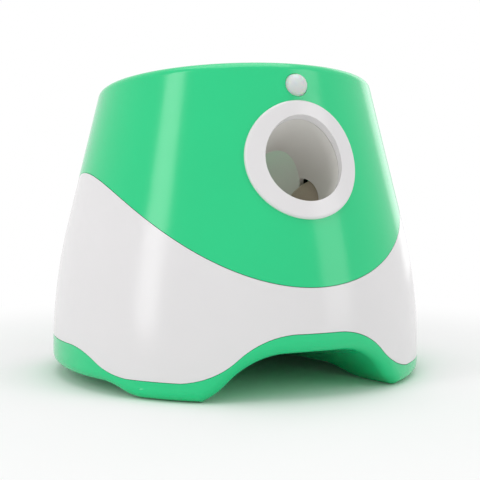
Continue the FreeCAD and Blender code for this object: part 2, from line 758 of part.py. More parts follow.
def make_sensor():
    centre = lens_point(s.lens_proud - s.lens_radius)
    dome = sphere("lens_dome", s.lens_radius, centre)
    neck = cylinder("lens_neck", s.lens_radius, s.wall + s.lens_proud - s.lens_radius + s.wall,
                    lens_point(-s.wall * 2), WALL_OUT)
    lip = cylinder("lens_lip", s.lens_radius + s.wall / 2, s.wall / 2,
                   lens_point(-s.wall * 2), WALL_OUT)
    behind = cylinder("lens_behind", 2 * s.lens_radius, FAR / 4,
                      lens_point(s.lens_proud - s.lens_radius), WALL_OUT)
    cap = common("lens_half", dome, behind)
    hollow = fuse("lens_hollow", sphere("lens_bubble", s.lens_radius - s.lens_wall, centre),
                  cylinder("lens_well", s.lens_radius - s.lens_wall,
                           2 * s.wall + s.lens_proud - s.lens_radius + s.wall,
                           lens_point(-3 * s.wall), WALL_OUT))
    cut("sensor_lens", fuse("lens_solid", cap, neck, lip), hollow)
    back = -2 * s.wall - s.board_thickness
    half = s.sensor_board_width / 2
    padded("sensor_board", "XY", [(-half, -half), (half, -half), (half, half), (-half, half)],
           s.board_thickness, lens_point(back + s.board_thickness / 2), WALL_OUT)
    cylinder("sensor_can", s.sensor_radius, s.sensor_height, lens_point(-2 * s.wall), WALL_OUT)


# Wheels and motors

def wheel_point(side, rise):
    return barrel_point(side * WHEEL_ACROSS, WHEEL_DEPTH, rise)


def make_wheel(label, side):
    half = s.tyre_width / 2
    inner = s.wheel_radius - s.tyre_depth
    corner = s.tyre_rounding
    revolved(label + "_wheel_tyre", [
        (inner, -half),
        (s.wheel_radius - corner, -half, corner, -1),
        (s.wheel_radius, -half + corner),
        (s.wheel_radius, half - corner, corner, -1),
        (s.wheel_radius - corner, half),
        (inner, half),
    ], wheel_point(side, 0), BARREL_TURN)
    band = revolved(label + "_hub_band", [
        (inner - s.rim_band, -half),
        (inner, -half),
        (inner, half),
        (inner - s.rim_band, half),
    ])
    boss = cylinder(label + "_hub_boss", s.hub_radius, s.tyre_width, (0, 0, -half))
    spokes = []
    count = int(s.spoke_count.value)
    for number in range(count):
        spoke = box(f"{label}_spoke_{number}", inner - s.rim_band / 2, s.spoke_width,
                    s.spoke_depth)
        turn = 360.0 * number / count
        shift = s.spoke_width / 2
        place(spoke, (shift * math.sin(math.radians(turn)),
                      -shift * math.cos(math.radians(turn)), -s.spoke_depth / 2),
              (Z_AXIS, turn))
        spokes.append(spoke)
    hole = cylinder(label + "_hub_bore", s.shaft_radius, 2 * s.tyre_width, (0, 0, -s.tyre_width))
    hub = cut(label + "_wheel_hub", fuse(label + "_hub_solid", band, boss, *spokes), hole)
    place(hub, wheel_point(side, 0), BARREL_TURN)
    nut = cut(label + "_wheel_nut", prism(label + "_nut_block", 6, s.nut_radius, s.nut_height),
              cylinder(label + "_nut_bore", s.shaft_radius, 3 * s.nut_height,
                       (0, 0, -s.nut_height)))
    place(nut, wheel_point(side, half), BARREL_TURN)


def make_motor(label, side):
    top = SHELF_UNDER
    can = cylinder(label + "_can_block", s.motor_radius, s.motor_length, (0, 0, -s.motor_length))
    boss = cylinder(label + "_can_boss", s.motor_boss_radius, s.motor_boss_height)
    bore = cylinder(label + "_can_bore", s.shaft_radius + s.shaft_fit, 3 * s.motor_length,
                    (0, 0, -2 * s.motor_length))
    holes = []
    for step in (-1, 1):
        holes.append(cylinder(f"{label}_can_hole_{step + 1}", s.screw_radius, 2 * s.wall,
                              (0, step * s.motor_screw_spacing / 2, -s.wall)))
    body = cut(label + "_motor_can", fuse(label + "_can_solid", can, boss), bore, *holes)
    place(body, wheel_point(side, top), BARREL_TURN)
    cap_top = top - s.motor_length
    cap = cone(label + "_cap_block", s.cap_low_radius, s.cap_high_radius,
               s.motor_cap_height, (0, 0, -s.motor_cap_height))
    nose = cylinder(label + "_cap_nose", s.motor_boss_radius, s.motor_boss_height,
                    (0, 0, -s.motor_cap_height - s.motor_boss_height))
    slots = []
    for step in (-1, 1):
        slots.append(box(f"{label}_cap_tab_{step + 1}", s.wall, s.cap_tab_thickness,
                         s.motor_cap_height,
                         (-s.wall / 2, step * s.cap_tab_spread,
                          -2 * s.motor_cap_height + s.motor_boss_height / 2)))
    cap = fuse(label + "_motor_cap", cap, nose, *slots)
    place(cap, wheel_point(side, cap_top), BARREL_TURN)
    shaft_top = s.tyre_width / 2 + s.nut_height + s.shaft_radius
    shaft_low = cap_top + s.motor_cap_height
    cylinder(label + "_motor_shaft", s.shaft_radius, shaft_top - shaft_low,
             wheel_point(side, shaft_low), BARREL_TURN)
    screws = []
    for step in (-1, 1):
        at = barrel_point(side * WHEEL_ACROSS, WHEEL_DEPTH + step * s.motor_screw_spacing / 2,
                          SHELF_TOP)
        screws.append(screw(f"{label}_motor_screw_{step + 1}", at, BARREL_TURN,
                            s.shelf_thickness + s.motor_screw_grip))
    return screws


def make_drives():
    screws = []
    for label, side in SIDES:
        make_wheel(label, side)
        screws.extend(make_motor(label, side))
    group("motor_screws", *screws)


# Button panel on the rear wall

PANEL_Y = wall_radius(s.panel_height)


def panel_point(across, out, up=0):
    """A point on the panel: across, out of the rear wall, and up along the wall."""
    out, up = size(out), size(up)
    return (across,
            PANEL_Y + out * cosine(s.lean_angle) - up * sine(s.lean_angle),
            s.panel_height + out * sine(s.lean_angle) + up * cosine(s.lean_angle))


def panel_block(name, grow):
    """A rounded block through the rear wall, grown all round."""
    width = s.panel_width / 2 + grow
    depth = s.panel_depth / 2 + grow
    corner = s.panel_corner + grow
    return padded(name, "XY", [
        (-width + corner, -depth),
        (width - corner, -depth, corner, -1),
        (width, -depth + corner),
        (width, depth - corner, corner, -1),
        (width - corner, depth),
        (-width + corner, depth, corner, -1),
        (-width, depth - corner),
        (-width, -depth + corner, corner, -1),
    ], 12 * s.wall, panel_point(0, 0), WALL_BACK)


FLANGE_REACH = s.button_spread + s.button_radius
FLANGE_OUT = -s.wall - FLANGE_REACH * FLANGE_REACH / (2 * PANEL_Y) - s.button_flange
SWITCH_BOARD_OUT = FLANGE_OUT - s.button_travel - s.switch_height - s.button_fit


def make_panel():
    layer = common("panel_outer", panel_block("panel_body", 0),
                   housing("panel_outside", -s.panel_proud, s.foot_gap))
    layer = cut("panel_layer", layer, housing("panel_inside", s.wall, s.foot_gap))
    hole_radius = s.button_radius + s.button_fit
    holes = []
    for name, across in (("power", -s.button_spread), ("distance", s.button_spread)):
        holes.append(cylinder(name + "_hole", hole_radius, FAR / 4,
                              panel_point(across, -FAR / 8), WALL_BACK))
    lights = []
    for number in (-1, 0, 1):
        at = panel_point(number * s.light_spacing, -2 * s.wall)
        holes.append(cylinder(f"light_hole_{number + 1}", s.light_radius, FAR / 4,
                              panel_point(number * s.light_spacing, -FAR / 8), WALL_BACK))
        lights.append(cylinder(f"light_{number + 1}", s.light_radius,
                               2 * s.wall + s.panel_proud, at, WALL_BACK))
    legs = []
    for number, up in enumerate((-1, 1)):
        at = panel_point(0, SWITCH_BOARD_OUT, up * s.panel_depth / 4)
        legs.append(cylinder(f"panel_leg_{number}", s.screw_head, -SWITCH_BOARD_OUT - s.wall / 2,
                             at, WALL_BACK))
    fuse("button_panel", cut("panel_face", layer, *holes), *legs)
    group("indicator_lights", *lights)


def make_buttons():
    sag = s.button_spread * s.button_spread / (2 * PANEL_Y)
    switches = []
    for name, side in (("power", -1), ("distance", 1)):
        across = side * s.button_spread
        stem_length = s.button_proud + s.panel_proud - sag - FLANGE_OUT
        revolved(name + "_button", [
            (0, 0),
            (s.button_radius + s.button_flange, 0),
            (s.button_radius + s.button_flange, s.button_flange * 0.7),
            (s.button_radius, s.button_flange * 0.7),
            (s.button_radius, stem_length - s.button_flange / 2, s.button_flange / 2, -1),
            (s.button_radius - s.button_flange / 2, stem_length, 4 * s.button_radius, 1),
            (0, stem_length - s.button_radius / 10),
        ], panel_point(across, FLANGE_OUT), WALL_BACK)
        half = s.switch_side / 2
        switches.append(padded(name + "_switch", "XY", [
            (-half, -half), (half, -half), (half, half), (-half, half),
        ], s.switch_height, panel_point(across, SWITCH_BOARD_OUT + s.switch_height / 2), WALL_BACK))
    group("button_switches", *switches)
    half_width = s.button_spread + s.switch_side
    half_depth = s.panel_depth / 3
    padded("button_board", "XY", [
        (-half_width, -half_depth), (half_width, -half_depth),
        (half_width, half_depth), (-half_width, half_depth),
    ], s.board_thickness, panel_point(0, SWITCH_BOARD_OUT - s.board_thickness / 2), WALL_BACK)


# Supply socket low on the rear wall

SOCKET_FACE = s.base_radius - s.socket_inset


def socket_hole():
    """The hole for the socket's sleeve, with a recess for its flange."""
    sleeve = cylinder("sleeve_hole", s.socket_radius + s.panel_fit, FAR,
                      (0, s.base_radius / 2, s.socket_height), ALONG_Y)
    recess = cylinder("flange_recess", s.socket_flange + s.panel_fit, FAR,
                      (0, SOCKET_FACE - s.socket_rim, s.socket_height), ALONG_Y)
    return fuse("socket_hole", sleeve, recess)


def make_socket():
    body = cylinder("socket_body", s.socket_radius, s.socket_depth,
                    (0, SOCKET_FACE - s.socket_depth, s.socket_height), ALONG_Y)
    flange = cylinder("socket_rim", s.socket_flange, s.socket_rim,
                      (0, SOCKET_FACE - s.socket_rim, s.socket_height), ALONG_Y)
    bore = cylinder("socket_bore_space", s.socket_bore, s.socket_depth,
                    (0, SOCKET_FACE - s.socket_bore_depth, s.socket_height), ALONG_Y)
    pin = cylinder("socket_pin", s.pin_radius, s.socket_bore_depth,
                   (0, SOCKET_FACE - s.socket_bore_depth - s.pin_radius, s.socket_height), ALONG_Y)
    fuse("supply_socket", cut("socket_sleeve", fuse("socket_solid", body, flange), bore), pin)


# Battery box and door

BOX_LENGTH = 2 * s.cell_length + 2 * s.contact_room
BOX_WIDTH = s.cell_rows * (s.cell_diameter + s.cell_play)
FLOOR_TOP = s.low_crown + s.wall
BOX_HEIGHT = s.cell_diameter + s.cell_play
OPENING_LENGTH = BOX_LENGTH - 2 * s.door_ledge
OPENING_WIDTH = BOX_WIDTH - 2 * s.door_ledge
OPENING_FRONT = s.box_front + s.door_ledge
DOOR_AXIS_Y = OPENING_FRONT + s.door_gap + s.wall / 2
DOOR_AXIS_Z = s.low_crown + s.wall / 2


def door_opening():
    """The hole for the battery door with the two holes for its pins."""
    hole = box("door_hole", OPENING_LENGTH, OPENING_WIDTH, FAR / 4,
               (-OPENING_LENGTH / 2, OPENING_FRONT, FLOOR_TOP - FAR / 4))
    pin_span = OPENING_LENGTH + s.pin_length
    pins = cylinder("door_pin_holes", s.pin_radius, pin_span,
                    (-pin_span / 2, DOOR_AXIS_Y, DOOR_AXIS_Z), ALONG_X)
    return fuse("door_room", hole, pins)


def make_battery_box():
    outside = box("box_outside", BOX_LENGTH + 2 * s.box_wall, BOX_WIDTH + 2 * s.box_wall,
                  BOX_HEIGHT + s.box_wall,
                  (-BOX_LENGTH / 2 - s.box_wall, s.box_front - s.box_wall, FLOOR_TOP))
    inside = box("box_inside", BOX_LENGTH, BOX_WIDTH, FAR,
                 (-BOX_LENGTH / 2, s.box_front, FLOOR_TOP + BOX_HEIGHT - FAR))
    shell = cut("box_shell", outside, inside)
    ribs = []
    row = s.cell_diameter + s.cell_play
    for number in range(1, int(s.cell_rows.value)):
        at = (-s.cell_length, s.box_front + number * row - s.box_wall / 2,
              FLOOR_TOP + BOX_HEIGHT - s.rib_height)
        ribs.append(box(f"box_rib_{number}", 2 * s.cell_length, s.box_wall,
                        s.rib_height + s.box_wall / 2, at))
    posts = []
    for number, at in enumerate(board_corners(FLOOR_TOP + BOX_HEIGHT + s.box_wall / 2)):
        posts.append(cylinder(f"board_post_{number}", s.screw_head, s.standoff + s.box_wall / 2,
                              at))
    solid = fuse("box_solid", shell, *ribs, *posts)
    bores = []
    for number, at in enumerate(board_corners(BOARD_UNDER - s.standoff)):
        bores.append(cylinder(f"board_bore_{number}", s.screw_radius, 2 * s.standoff, at))
    cut("battery_box", solid, *bores)


def make_contacts():
    springs = []
    plates = []
    row = s.cell_diameter + s.cell_play
    middle = FLOOR_TOP + BOX_HEIGHT / 2
    for number in range(int(s.cell_rows.value)):
        y = s.box_front + (number + 0.5) * row
        for label, side in SIDES:
            left = side * BOX_LENGTH / 2 - (0 if side < 0 else s.plate_thickness)
            plates.append(box(f"plate_{label}_{number}", s.plate_thickness, s.plate_side,
                              s.plate_side, (left, y - s.plate_side / 2,
                                             middle - s.plate_side / 2)))
        start = -BOX_LENGTH / 2 + s.plate_thickness
        springs.append(contact_spring(f"spring_{number}", start, y, middle))
    group("battery_plates", *plates)
    group("battery_springs", *springs)


def contact_spring(name, start, y, z):
    """A leaf spring that arches from its plate to the cell."""
    half = s.leaf_span / 2
    reach = s.contact_room - s.plate_thickness
    inner_half = half - s.leaf_thickness
    inner_reach = reach - s.leaf_thickness
    outer = (half * half + reach * reach) / (2 * reach)
    inner = (inner_half * inner_half + inner_reach * inner_reach) / (2 * inner_reach)
    return padded(name, "XY", [
        (0, -half, outer, -1),
        (0, half),
        (0, inner_half, inner, 1),
        (0, -inner_half),
    ], s.leaf_width, (start, y, z))


def make_door():
    gap = s.door_gap
    half = OPENING_LENGTH / 2 - gap
    width = OPENING_WIDTH - 2 * gap
    start = OPENING_FRONT + gap
    radius = s.wall / 2
    plate = padded("door_plate", "YZ", [
        (start + radius, s.low_crown),
        (start + width, s.low_crown),
        (start + width, FLOOR_TOP),
        (start + radius, FLOOR_TOP, radius, 1),
        (start, DOOR_AXIS_Z, radius, 1),
    ], 2 * half)
    bore_length = s.pin_length
    bores = []
    for label, side in SIDES:
        x = side * half - (bore_length if side > 0 else 0) + (gap if side > 0 else -gap)
        bores.append(cylinder(f"{label}_door_bore", s.pin_radius + s.pin_fit, bore_length,
                              (x, DOOR_AXIS_Y, DOOR_AXIS_Z), ALONG_X))
    grip = cylinder("door_grip", s.hub_radius, OPENING_LENGTH / 5,
                    (-OPENING_LENGTH / 10, start + width - s.grip_inset,
                     s.low_crown - s.grip_drop), ALONG_X)
    clip = box("door_clip", OPENING_LENGTH / 6, s.door_ledge + s.wall, s.clip_height,
               (-OPENING_LENGTH / 12, start + width - s.door_ledge - s.wall,
                FLOOR_TOP - s.clip_height / 2))
    cut("battery_door", fuse("door_solid", plate, clip), grip, *bores)
    pins = []
    for label, side in SIDES:
        x = side * OPENING_LENGTH / 2 - s.pin_length / 2
        pins.append(cylinder(f"{label}_door_pin", s.pin_radius, s.pin_length,
                             (x, DOOR_AXIS_Y, DOOR_AXIS_Z), ALONG_X))
    group("door_pins", *pins)


# Control board on the battery box

BOARD_UNDER = FLOOR_TOP + BOX_HEIGHT + s.box_wall + s.standoff
BOARD_MIDDLE = s.box_front + BOX_WIDTH / 2


def board_corners(height):
    reach = s.board_length / 2 - s.board_margin
    depth = s.board_width / 2 - s.board_margin
    return [(x * reach, BOARD_MIDDLE + y * depth, height) for x in (-1, 1) for y in (-1, 1)]


def make_control_board():
    top = BOARD_UNDER + s.board_thickness
    plate = box("board_plate", s.board_length, s.board_width, s.board_thickness,
                (-s.board_length / 2, BOARD_MIDDLE - s.board_width / 2, BOARD_UNDER))
    holes = [cylinder(f"board_hole_{n}", s.screw_hole, 4 * s.board_thickness, at)
             for n, at in enumerate(board_corners(BOARD_UNDER - s.board_thickness))]
    cut("control_board", plate, *holes)
    screws = [screw(f"board_screw_{n}", at, UPRIGHT, s.standoff)
              for n, at in enumerate(board_corners(top))]
    group("board_screws", *screws)
    step = s.board_length / 8
    relays = [box(f"relay_{n}", s.relay_length, s.relay_width, s.relay_height,
                  (-2.6 * step + n * 2 * step, BOARD_MIDDLE - 2 * step, top)) for n in (0, 1)]
    group("motor_relays", *relays)
    tubs = [cylinder(f"tub_{n}", s.tub_radius, s.tub_height,
                     (1.6 * step + n * 1.1 * step, BOARD_MIDDLE - 1.4 * step, top))
            for n in (0, 1)]
    group("board_capacitors", *tubs)
    plugs = [box(f"plug_{n}", s.plug_length, s.plug_width, s.plug_height,
                 (-2.2 * step + n * 1.3 * step, BOARD_MIDDLE + 1.8 * step, top))
             for n in range(4)]
    group("board_plugs", *plugs)
    box("control_chip", s.chip_length, s.chip_width, s.chip_height,
        (-1.2 * step, BOARD_MIDDLE + 0.5 * step, top))
    cylinder("buzzer", s.buzzer_radius, s.buzzer_height,
             (1.6 * step, BOARD_MIDDLE + 0.6 * step, top))


def make_ball_eyes():
    """Light gate across the chute, above the ball on its seat."""
    eyes = []
    for label, side in SIDES:
        x = side * (TUBE_RADIUS + s.lens_fit)
        start = x if side > 0 else x - s.eye_length
        eyes.append(cylinder(f"eye_{label}", s.eye_radius, s.eye_length,
                             (start, SEAT[1], SEAT[2] + s.eye_rise), ALONG_X))
    group("ball_eyes", *eyes)


NODES = [
    "base_tray", "rubber_feet", "lower_shell", "upper_shell", "hopper_bowl",
    "launch_barrel", "muzzle_bezel", "sensor_lens", "sensor_board", "sensor_can",
    "left_wheel_tyre", "right_wheel_tyre", "left_wheel_hub", "right_wheel_hub",
    "left_wheel_nut", "right_wheel_nut", "left_motor_shaft", "right_motor_shaft",
    "left_motor_can", "right_motor_can", "left_motor_cap", "right_motor_cap",
    "motor_screws", "button_panel", "power_button", "distance_button",
    "indicator_lights", "button_switches", "button_board", "supply_socket",
    "battery_box", "battery_plates", "battery_springs", "battery_door", "door_pins",
    "control_board", "board_screws", "motor_relays", "board_capacitors", "board_plugs",
    "control_chip", "buzzer", "ball_eyes",
]


def check_document():
    """Stop at any object that failed or any piece without a sound shape."""
    for obj in doc.Objects:
        if "Invalid" in obj.State or "Error" in obj.State:
            raise RuntimeError(f"{obj.Label} failed: {obj.State}")
    for name in NODES:
        shape = doc.getObject(name).Shape
        if shape.isNull() or not shape.isValid() or not shape.Solids:
            raise RuntimeError(f"{name} has no sound solid")


def write_parts():
    os.makedirs("parts", exist_ok=True)
    for name in NODES:
        obj = doc.getObject(name)
        obj.Label = name
        obj.Shape.exportStep(f"parts/{name}.step")
        print(f"{name}: {len(obj.Shape.Solids)} solids, {obj.Shape.Volume:.0f} mm3")


make_housings()
make_tray()
make_feet()
make_bowl()
make_barrel()
make_bezel()
make_sensor()
make_drives()
make_panel()
make_buttons()
make_socket()
make_battery_box()
make_contacts()
make_door()
make_control_board()
make_ball_eyes()
doc.recompute()
check_document()
write_parts()
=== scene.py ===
# %% [markdown]
# # An automatic ball launcher for dogs
# The housing is three glossy mouldings: a green upper shell, a pale skirt and a green tray.
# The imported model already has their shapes, so this file gives each piece a finish, adds the
# small things that are too fine for the solids, and lights the scene. The finishes of what
# the picture shows follow the picture. The rear, the underside and the inside are not seen,
# and they get what such parts are commonly made of.

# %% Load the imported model
import math

import bmesh
import bpy
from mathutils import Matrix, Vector


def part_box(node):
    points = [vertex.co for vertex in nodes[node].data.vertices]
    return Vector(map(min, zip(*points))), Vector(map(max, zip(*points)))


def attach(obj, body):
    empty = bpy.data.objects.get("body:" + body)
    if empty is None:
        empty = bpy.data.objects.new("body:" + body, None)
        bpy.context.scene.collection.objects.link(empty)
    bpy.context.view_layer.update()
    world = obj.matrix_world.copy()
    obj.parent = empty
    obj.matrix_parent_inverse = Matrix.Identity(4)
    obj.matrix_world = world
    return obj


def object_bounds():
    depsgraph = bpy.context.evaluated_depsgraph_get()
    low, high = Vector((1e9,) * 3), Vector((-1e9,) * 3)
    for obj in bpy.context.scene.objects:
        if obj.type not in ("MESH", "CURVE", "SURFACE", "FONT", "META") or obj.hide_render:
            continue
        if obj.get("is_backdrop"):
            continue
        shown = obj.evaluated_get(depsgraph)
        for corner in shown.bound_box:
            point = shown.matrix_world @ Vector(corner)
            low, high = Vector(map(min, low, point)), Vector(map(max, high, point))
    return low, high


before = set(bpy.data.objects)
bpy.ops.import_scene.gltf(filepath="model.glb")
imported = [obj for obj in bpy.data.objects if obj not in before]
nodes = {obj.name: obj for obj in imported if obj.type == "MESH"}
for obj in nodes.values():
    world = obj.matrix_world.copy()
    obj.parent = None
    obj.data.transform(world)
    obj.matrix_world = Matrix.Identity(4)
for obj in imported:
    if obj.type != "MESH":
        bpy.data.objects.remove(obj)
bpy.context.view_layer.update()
scene = bpy.context.scene
MM = 0.001

# %% [markdown]
# ## Camera
# The camera is low down and to the left of the muzzle, and looks down by about three
# degrees. The outline in the picture does not settle how far away it was, so the distance of
# about three quarters of a metre is a choice.

# %% Camera
SENSOR_WIDTH = 36
FOCAL_LENGTH = 67.3
SIDE_SHIFT = 0.01
NEAREST_SEEN = 0.01
CAMERA_PLACE = (-0.29305, -0.69038, 0.1426)
LOOKS_DOWN = 0.0506
TURN = math.radians(-23)

camera_data = bpy.data.cameras.new("camera")
camera_data.sensor_width = SENSOR_WIDTH
camera_data.lens = FOCAL_LENGTH
camera_data.shift_x = SIDE_SHIFT
camera_data.clip_start = NEAREST_SEEN
camera = bpy.data.objects.new("camera", camera_data)
camera.location = CAMERA_PLACE
camera.rotation_euler = (math.pi / 2 - LOOKS_DOWN, 0, TURN)
scene.collection.objects.link(camera)
scene.camera = camera
print("camera distance in m:", round(camera.location.length, 3))

# %% [markdown]
# ## Colours and nodes
# A hex value is what a screen shows, and the renderer reckons with light, so one function
# turns the first into the second. Another adds a shader node with its settings and links.
# The rest are the few steps that most of the materials below share.


# %% Helpers for materials
def linear(hex_value):
    """A screen colour such as 1AD28C as linear light, by the sRGB curve."""
    def channel(text):
        c = int(text, 16) / 255
        return c / 12.92 if c <= 0.04045 else ((c + 0.055) / 1.055) ** 2.4
    return (*(channel(hex_value[i:i + 2]) for i in (0, 2, 4)), 1.0)


def add(tree, kind, settings=None, links=None):
    """Add a node, set its properties and sockets, and link other sockets to its inputs."""
    made = tree.nodes.new(kind)
    for name, value in (settings or {}).items():
        if hasattr(made, name):
            setattr(made, name, value)
    for name, value in (settings or {}).items():
        if not hasattr(made, name):
            made.inputs[name].default_value = value
    for name, source in (links or {}).items():
        tree.links.new(source, made.inputs[name])
    return made


def per_metre(size_mm):
    """The texture scale at which one cell of a pattern is so many millimetres."""
    return 1 / (size_mm * MM)


def new_material(name):
    """An empty material, its tree, and where each point lies on the piece itself."""
    material = bpy.data.materials.new(name)
    material.use_nodes = True
    tree = material.node_tree
    tree.nodes.clear()
    return material, tree, add(tree, "ShaderNodeTexCoord").outputs["Object"]


def noise(tree, place, size_mm, detail, **sockets):
    """A cloudy pattern from 0 to 1 with cells of so many millimetres."""
    return add(tree, "ShaderNodeTexNoise",
               {"Scale": per_metre(size_mm), "Detail": detail, **sockets},
               {"Vector": place}).outputs["Fac"]


# The mix node has sockets of one name for every data type, so its colours go by number.
FIRST_COLOUR, SECOND_COLOUR, MIXED_COLOUR = 6, 7, 2


def two_colours(tree, share, first, second):
    """A colour between two, by the share that a pattern gives."""
    mixed = add(tree, "ShaderNodeMix", {"data_type": "RGBA"}, {"Factor": share})
    mixed.inputs[FIRST_COLOUR].default_value = linear(first)
    mixed.inputs[SECOND_COLOUR].default_value = linear(second)
    return mixed.outputs[MIXED_COLOUR]


def uneven(tree, share, roughness, low, high):
    """A roughness that a pattern takes from a low to a high multiple of its value."""
    return add(tree, "ShaderNodeMapRange",
               {"To Min": roughness * low, "To Max": roughness * high},
               {"Value": share}).outputs["Result"]


def relief(tree, pattern, depth_mm, **links):
    """A bump of so many millimetres between the low and the high of a pattern."""
    return add(tree, "ShaderNodeBump", {"Distance": depth_mm * MM},
               {"Height": pattern, **links}).outputs["Normal"]


def surface(tree, settings, links):
    """The principled surface and the output that end a material's tree."""
    shader = add(tree, "ShaderNodeBsdfPrincipled", settings, links)
    add(tree, "ShaderNodeOutputMaterial", {}, {"Surface": shader.outputs["BSDF"]})


# %% [markdown]
# ## Moulded plastics
# ABS comes out of a polished steel mould with a gloss that follows the tool, apart from a
# faint waviness about a centimetre across where the melt cooled unevenly. That waviness is
# what makes the highlights of a real moulding look soft. Satin parts come from an etched
# mould, with a fine grain in place of the gloss. A wave and a grain are each given as the
# size of a cell and its depth, in millimetres.


# %% Moulded plastic
COLOUR_PATCH_MM = 60
HANDLED_PATCH_MM = 18


def moulded(name, tint, shade, roughness, wave, grain, ior=1.53, **sockets):
    """Plastic from a mould: two close colours, a long waviness and a fine grain."""
    (wave_mm, wave_depth_mm), (grain_mm, grain_depth_mm) = wave, grain
    material, tree, place = new_material(name)
    colour = two_colours(tree, noise(tree, place, COLOUR_PATCH_MM, detail=2.0), tint, shade)
    handled = noise(tree, place, HANDLED_PATCH_MM, detail=4.0)
    long_bump = relief(tree, noise(tree, place, wave_mm, detail=1.0), wave_depth_mm)
    bump = relief(tree, noise(tree, place, grain_mm, detail=2.0), grain_depth_mm,
                  Normal=long_bump)
    surface(tree, {"IOR": ior, **sockets},
            {"Base Color": colour, "Normal": bump,
             "Roughness": uneven(tree, handled, roughness, low=0.8, high=1.25)})
    return material


POLISHED = {"wave": (9, 0.012), "grain": (0.8, 0.0008)}
green_abs = moulded("green_abs_polished_mould", "04D286", "08CB82", roughness=0.16, **POLISHED)
white_abs = moulded("pale_abs_polished_mould", "E6E4E5", "E1DFE0", roughness=0.2, **POLISHED)
grey_abs = moulded("grey_abs_satin_mould", "E4E2DE", "DCDAD5", roughness=0.38,
                   wave=(12, 0.01), grain=(0.6, 0.003))
black_nylon = moulded("black_nylon_etched_mould", "1A1A1B", "222223", roughness=0.5,
                      wave=(10, 0.01), grain=(0.5, 0.006))
hub_nylon = moulded("ochre_nylon_moulded", "9A7420", "8D6A1C", roughness=0.42,
                    wave=(10, 0.01), grain=(0.5, 0.004))
relay_pbt = moulded("blue_pbt_moulded", "1C3F8E", "1A3A84", roughness=0.35,
                    wave=(10, 0.01), grain=(0.4, 0.003), ior=1.55)
clear_acrylic = moulded("diffused_acrylic_moulded", "DDE6DA", "D6E0D4", roughness=0.3,
                        wave=(8, 0.005), grain=(0.4, 0.001), ior=1.49,
                        **{"Transmission Weight": 0.3})
print("plastics:", [m.name for m in bpy.data.materials])

# %% [markdown]
# ## Sensor lens
# The little dome over the muzzle is taken for the lens of a motion sensor, cast in
# translucent polyethylene. The inside of such a lens is cut into facets that focus body heat
# on the sensor, and they show through as a net of faint lines.

# %% Lens
FACET_MM = 2.6
FACET_IRREGULARITY = 0.35
LINE_WIDTH = 0.08

lens_plastic, tree, place = new_material("translucent_polyethylene_lens")
facets = add(tree, "ShaderNodeTexVoronoi",
             {"feature": "DISTANCE_TO_EDGE", "Scale": per_metre(FACET_MM),
              "Randomness": FACET_IRREGULARITY}, {"Vector": place})
net = add(tree, "ShaderNodeMapRange",
          {"From Max": LINE_WIDTH, "interpolation_type": "SMOOTHSTEP"},
          {"Value": facets.outputs["Distance"]})
surface(tree,
        {"Base Color": linear("F2F3F1"), "Roughness": 0.28, "IOR": 1.51,
         "Transmission Weight": 0.25, "Subsurface Weight": 0.4, "Subsurface Scale": 0.002},
        {"Normal": relief(tree, net.outputs["Result"], depth_mm=0.05)})
print("lens facets in mm:", FACET_MM)

# %% [markdown]
# ## Rubber
# The feet are moulded in soft black rubber and the tyres in a pale elastomer that is ground
# round afterwards. Both are matt, with pale dust in their pores.


# %% Rubber
DUST_BEGINS, DUST_FULL = 0.45, 0.8


def rubber(name, tint, dusty, speck_mm):
    """Matt rubber with pale dust in its pores."""
    material, tree, place = new_material(name)
    specks = noise(tree, place, speck_mm, detail=6.0, Roughness=0.7)
    dust = add(tree, "ShaderNodeMapRange", {"From Min": DUST_BEGINS, "From Max": DUST_FULL},
               {"Value": specks})
    surface(tree, {"Roughness": 0.82, "IOR": 1.52, "Sheen Weight": 0.15},
            {"Base Color": two_colours(tree, dust.outputs["Result"], tint, dusty),
             "Normal": relief(tree, specks, depth_mm=0.03)})
    return material


foot_rubber = rubber("black_rubber_moulded", "1C1C1C", "3A3A38", speck_mm=1.2)
tyre_rubber = rubber("pale_elastomer_ground", "A79C88", "B8AE9C", speck_mm=0.9)
print("rubbers:", [foot_rubber.name, tyre_rubber.name])

# %% [markdown]
# ## Metals
# The motor cans and nuts are zinc plated steel: a soft grey shine with cloudy patches. The
# shafts and pins are ground, so they are smoother. The battery contacts are plated brass,
# and the capacitors have a dark sleeve over an aluminium can.


# %% Metals
def metal(name, tint, shade, roughness, cloud_mm):
    """Metal whose plating is cloudy on the scale of a few millimetres."""
    material, tree, place = new_material(name)
    cloud = noise(tree, place, cloud_mm, detail=5.0)
    surface(tree, {"Metallic": 1.0},
            {"Base Color": two_colours(tree, cloud, tint, shade),
             "Roughness": uneven(tree, cloud, roughness, low=0.7, high=1.4)})
    return material


zinc_steel = metal("zinc_plated_steel", "C9CCCE", "B4B8BB", roughness=0.34, cloud_mm=4)
ground_steel = metal("ground_steel", "CFCFCD", "BDBDBB", roughness=0.2, cloud_mm=1.5)
contact_brass = metal("nickel_plated_brass", "D6CFB8", "C4BBA0", roughness=0.26, cloud_mm=3)
can_aluminium = metal("sleeved_aluminium", "4A4B52", "3A3B41", roughness=0.4, cloud_mm=3)
print("metals:", [m.name for m in (zinc_steel, ground_steel, contact_brass, can_aluminium)])

# %% [markdown]
# ## Circuit board
# Boards are woven glass in epoxy under green lacquer. The weave is about half a millimetre
# and shows as a faint grid under the gloss.

# %% Board
WEAVE_MM = 0.5

board_epoxy, tree, place = new_material("glass_epoxy_board")
weave = add(tree, "ShaderNodeTexChecker", {"Scale": per_metre(WEAVE_MM)}, {"Vector": place})
surface(tree, {"Roughness": 0.25, "IOR": 1.55},
        {"Base Color": two_colours(tree, weave.outputs["Fac"], "0F5A34", "0D5030")})
print("weave of the boards in mm:", WEAVE_MM)

# %% [markdown]
# ## Dressing the pieces
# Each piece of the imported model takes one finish. Its mesh and its shading stay as they were
# loaded.

